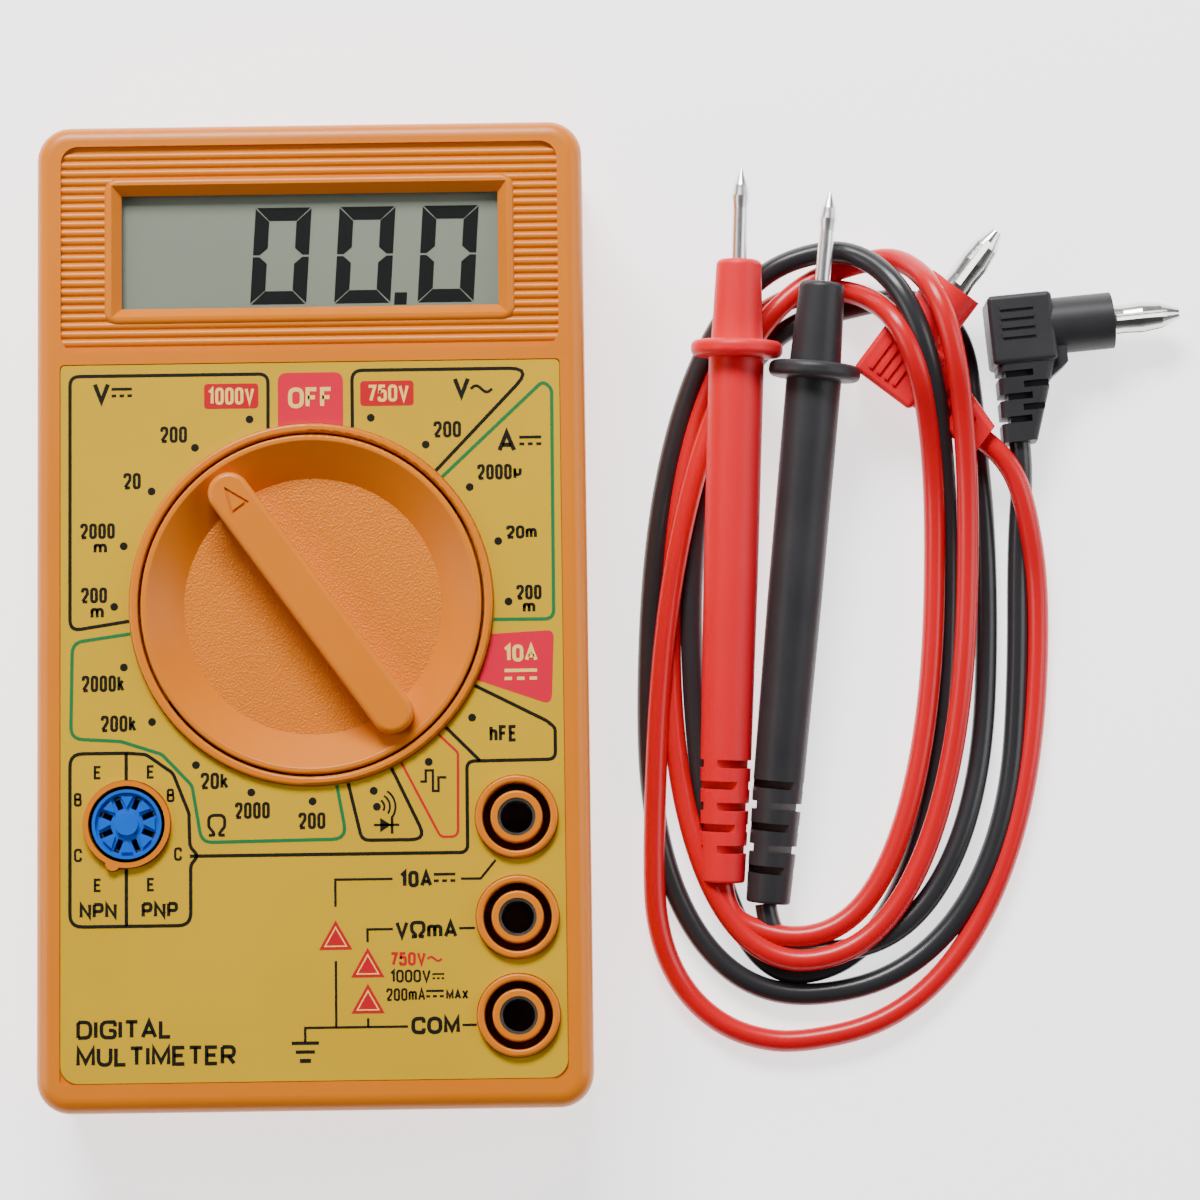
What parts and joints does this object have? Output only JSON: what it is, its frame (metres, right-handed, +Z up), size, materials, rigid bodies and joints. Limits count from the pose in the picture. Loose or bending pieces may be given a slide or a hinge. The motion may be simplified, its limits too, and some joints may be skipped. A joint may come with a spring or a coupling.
{
  "type": "digital multimeter",
  "caption": "Pocket digital multimeter with a rotary range selector, LCD window, transistor socket and plug jacks, and its pair of test leads lying in a loose hank beside it.",
  "frame": {"origin": "on the bench under the middle of the meter's case, with the meter lying on its back", "axes": "+Z up out of the face, +Y towards the display end, +X to the right of the face, towards the test leads"},
  "size_m": [0.1492, 0.126, 0.028],
  "materials": {
    "case": "satin moulded orange plastic, lightly textured",
    "label": "golden yellow printed polyester label",
    "window": "clear acrylic window",
    "lcd": "grey-green liquid crystal display",
    "frame_plastic": "white moulded plastic",
    "elastomer": "soft conductive elastomer",
    "circuit_board": "green solder mask over fibreglass",
    "nickel": "bright nickel plate",
    "steel": "bright drawn steel",
    "brass": "bare brass",
    "copper_wire": "tinned copper alloy wire",
    "epoxy": "black potting epoxy",
    "fuse_glass": "clear fuse glass",
    "ceramic": "fired ceramic",
    "component_blue": "blue moulded component body",
    "resistor_body": "tan lacquered resistor body",
    "semiconductor": "black moulded epoxy",
    "socket_blue": "bright blue moulded plastic",
    "battery_jacket": "plain dark printed steel jacket",
    "black_plastic": "black moulded plastic",
    "foam": "black foam strip",
    "red_wire": "thin red insulation",
    "black_wire": "thin black insulation",
    "lead_red": "soft satin red vinyl",
    "lead_black": "soft satin black vinyl",
    "cord": "glossy flexible vinyl insulation, one red lead and one black lead"
  },
  "bodies": {
    "case": {"battery": "battery_jacket", "battery_pad": "foam", "battery_snap": "black_plastic", "battery_wire_black": "black_wire", "battery_wire_red": "red_wire", "buzzer_wires": "black_wire", "capacitors": "component_blue", "case_screws": "steel", "chip_blob": "epoxy", "diodes": "semiconductor", "display_window": "window", "face_label": "label", "front_case": "case", "fuse_caps": "nickel", "fuse_clips": "nickel", "fuse_glass": "fuse_glass", "jack_10a": "nickel", "jack_com": "nickel", "jack_vohm_ma": "nickel", "lcd_frame": "frame_plastic", "lcd_panel": "lcd", "pcb": "circuit_board", "pcb_screws": "steel", "piezo_ceramic": "ceramic", "piezo_disc": "brass", "rear_case": "case", "resistors": "resistor_body", "shunt_wire": "copper_wire", "socket_contacts": "nickel", "transistor_socket": "socket_blue", "transistors": "semiconductor", "trimmer": "component_blue", "zebra_strips": "elastomer"},
    "selector": {"selector_knob": "case", "contact_clips": "brass", "detent_springs": "steel", "detent_balls": "steel"},
    "test_leads": {"red_probe_handle": "lead_red", "red_probe_needle": "steel", "black_probe_handle": "lead_black", "black_probe_needle": "steel", "red_plug_body": "lead_red", "red_plug_pin": "nickel", "black_plug_body": "lead_black", "black_plug_pin": "nickel", "lead_hank": "cord"}
  },
  "joints": [
    {"name": "selector_turn", "type": "hinge", "parent": "case", "child": "selector", "pos_m": [0, 0.0008, 0.0245], "axis": [0, 0, 1], "continuous": true},
    {"name": "leads_lift", "type": "slide", "parent": "case", "child": "test_leads", "axis": [0, 0, 1], "range_m": [0, 0.12]}
  ]
}
